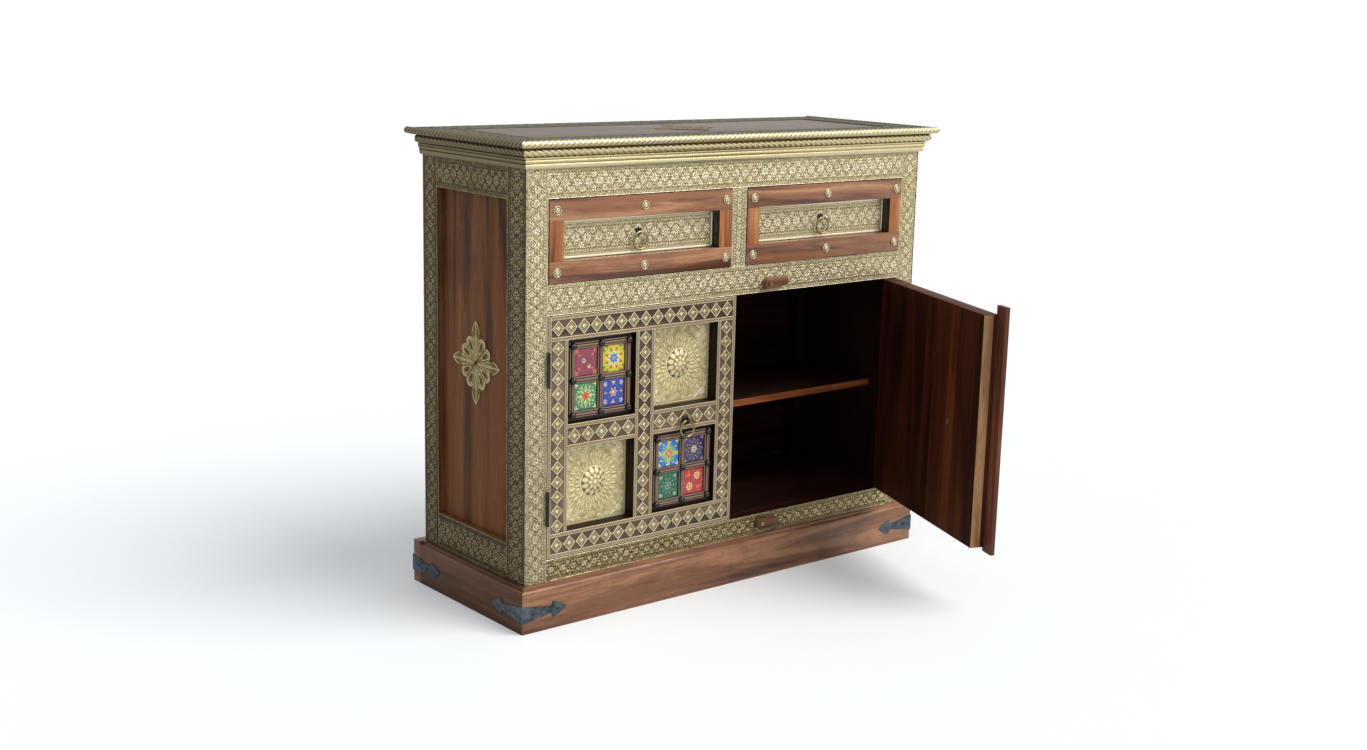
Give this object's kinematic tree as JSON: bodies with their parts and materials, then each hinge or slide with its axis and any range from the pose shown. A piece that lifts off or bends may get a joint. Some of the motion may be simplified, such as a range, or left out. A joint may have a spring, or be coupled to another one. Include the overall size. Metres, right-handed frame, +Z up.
{
  "type": "brass-clad cabinet",
  "caption": "Low wooden cabinet clad in embossed brass, with drawers over hinged doors that hold glazed tiles and brass rosettes, ring pulls, turn buttons and an inner shelf.",
  "frame": {"origin": "on the floor under the middle of the carcass", "axes": "+X to the right along the front, +Y from the front to the back, +Z up"},
  "size_m": [1.0514, 0.8154, 0.9],
  "materials": {
    "embossed_brass": "embossed, aged",
    "ring_brass": "worn polish",
    "hinge_brass": "dull, aged",
    "iron": "blackened",
    "plinth_wood": "waxed",
    "frame_wood": "waxed",
    "panel_wood": "waxed",
    "top_wood": "polished",
    "inner_wood": "stained",
    "glazed_tile": "glazed"
  },
  "bodies": {
    "carcass": {"plinth_front": "plinth_wood", "plinth_sides": "plinth_wood", "plinth_back": "plinth_wood", "plinth_bearer": "inner_wood", "corner_straps": "iron", "strap_nails": "iron", "front_left_post": "inner_wood", "front_right_post": "inner_wood", "back_posts": "inner_wood", "side_rails": "inner_wood", "side_panels": "panel_wood", "top_front_rail": "inner_wood", "mid_front_rail": "inner_wood", "bottom_front_rail": "inner_wood", "drawer_divider": "inner_wood", "back_rails": "inner_wood", "back_panel": "inner_wood", "bottom_board": "inner_wood", "dust_board": "inner_wood", "runners_and_cleats": "inner_wood", "shelf": "inner_wood", "top_board": "top_wood", "top_brass_border": "embossed_brass", "top_rosette": "embossed_brass", "frieze_boards": "embossed_brass", "upper_rope_moulding": "embossed_brass", "lower_rope_moulding": "embossed_brass", "frieze_moulding": "embossed_brass", "front_brass": "embossed_brass", "side_brass": "embossed_brass", "side_rosettes": "embossed_brass", "carcass_hinge_leaves": "hinge_brass", "button_screws": "iron"},
    "left_drawer": {"left_drawer_box": "inner_wood", "left_drawer_frame": "frame_wood", "left_drawer_panel": "embossed_brass", "left_drawer_studs": "iron"},
    "left_drawer_ring": {"left_drawer_ring": "ring_brass"},
    "left_door": {"left_door_frame": "inner_wood", "left_door_lattice": "embossed_brass", "left_door_tiles": "glazed_tile", "left_door_tile_grids": "frame_wood", "left_door_rosettes": "embossed_brass", "left_door_ironwork": "hinge_brass"},
    "left_door_ring": {"left_door_ring": "ring_brass"},
    "right_drawer": {"right_drawer_box": "inner_wood", "right_drawer_frame": "frame_wood", "right_drawer_panel": "embossed_brass", "right_drawer_studs": "iron"},
    "right_drawer_ring": {"right_drawer_ring": "ring_brass"},
    "right_door": {"right_door_frame": "inner_wood", "right_door_lattice": "embossed_brass", "right_door_tiles": "glazed_tile", "right_door_tile_grids": "frame_wood", "right_door_rosettes": "embossed_brass", "right_door_ironwork": "hinge_brass", "right_door_cover_strip": "frame_wood"},
    "right_door_ring": {"right_door_ring": "ring_brass"},
    "upper_turn_button": {"upper_turn_button": "frame_wood"},
    "lower_turn_button": {"lower_turn_button": "frame_wood"}
  },
  "joints": [
    {"name": "left_drawer_slide", "type": "slide", "parent": "carcass", "child": "left_drawer", "axis": [0, -1, 0], "range_m": [0, 0.24]},
    {"name": "left_drawer_ring_swing", "type": "hinge", "parent": "left_drawer", "child": "left_drawer_ring", "pos_m": [-0.23375, -0.1651, 0.723], "axis": [-1, 0, 0], "range_deg": [-8, 100]},
    {"name": "right_drawer_slide", "type": "slide", "parent": "carcass", "child": "right_drawer", "axis": [0, -1, 0], "range_m": [0, 0.24]},
    {"name": "right_drawer_ring_swing", "type": "hinge", "parent": "right_drawer", "child": "right_drawer_ring", "pos_m": [0.23375, -0.1651, 0.723], "axis": [-1, 0, 0], "range_deg": [-8, 100]},
    {"name": "left_door_hinge", "type": "hinge", "parent": "carcass", "child": "left_door", "pos_m": [-0.4485, -0.1786, 0.356], "axis": [0, 0, -1], "range_deg": [0, 170]},
    {"name": "right_door_hinge", "type": "hinge", "parent": "carcass", "child": "right_door", "pos_m": [0.4485, -0.1786, 0.356], "axis": [0, 0, 1], "range_deg": [-69, 101]},
    {"name": "left_door_ring_swing", "type": "hinge", "parent": "left_door", "child": "left_door_ring", "pos_m": [-0.12395, -0.1825, 0.351], "axis": [-1, 0, 0], "range_deg": [-5, 100]},
    {"name": "right_door_ring_swing", "type": "hinge", "parent": "right_door", "child": "right_door_ring", "pos_m": [0.33583, -0.48299, 0.351], "axis": [-0.3584, -0.9336, 0], "range_deg": [-5, 100]},
    {"name": "upper_button_turn", "type": "hinge", "parent": "carcass", "child": "upper_turn_button", "pos_m": [0.076, -0.1815, 0.603], "axis": [0, 1, 0], "range_deg": [0, 90]},
    {"name": "lower_button_turn", "type": "hinge", "parent": "carcass", "child": "lower_turn_button", "pos_m": [0.076, -0.1815, 0.109], "axis": [0, -1, 0], "range_deg": [0, 90]}
  ]
}
